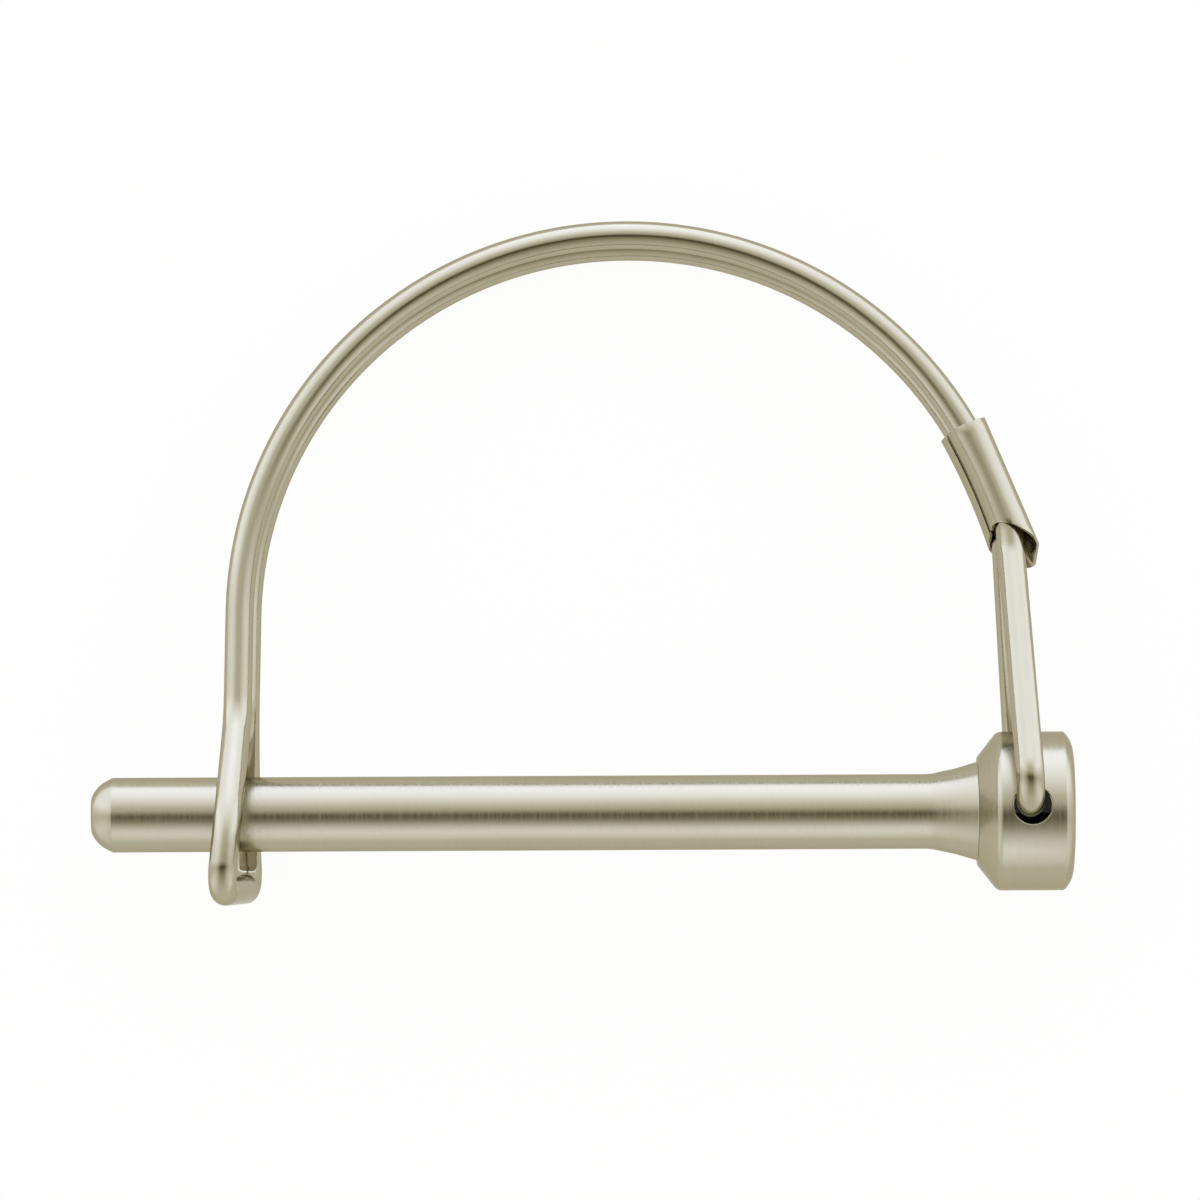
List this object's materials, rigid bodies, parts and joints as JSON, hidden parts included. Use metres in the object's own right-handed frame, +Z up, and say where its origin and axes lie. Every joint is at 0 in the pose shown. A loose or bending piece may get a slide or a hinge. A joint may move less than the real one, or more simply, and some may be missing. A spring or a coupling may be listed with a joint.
{
  "type": "locking pin",
  "caption": "Turned steel locking pin with a hinged double-wire bail: the wire runs through the head and its closed eye snaps over the far end of the shank.",
  "frame": {"origin": "centre of the part's box on the table it lies on", "axes": "+X along the pin as seen from above, from the tip to the head; +Y toward the top of the bail's arch; +Z up from the table"},
  "size_m": [0.0836, 0.0583, 0.0196],
  "materials": {
    "pin_steel": "turned steel, pale yellow plating, satin",
    "wire_steel": "drawn spring wire, pale yellow plating, satin",
    "ferrule_steel": "crimped sheet, pale yellow plating, satin"
  },
  "bodies": {
    "pin": {"pin": "pin_steel"},
    "bail": {"wire_bail": "wire_steel", "ferrule": "ferrule_steel"}
  },
  "joints": [
    {"name": "bail_swing", "type": "hinge", "parent": "pin", "child": "bail", "pos_m": [0.03769, -0.02149, 0.01009], "axis": [0.0419, -0.1232, -0.9915], "range_deg": [0, 255]}
  ]
}
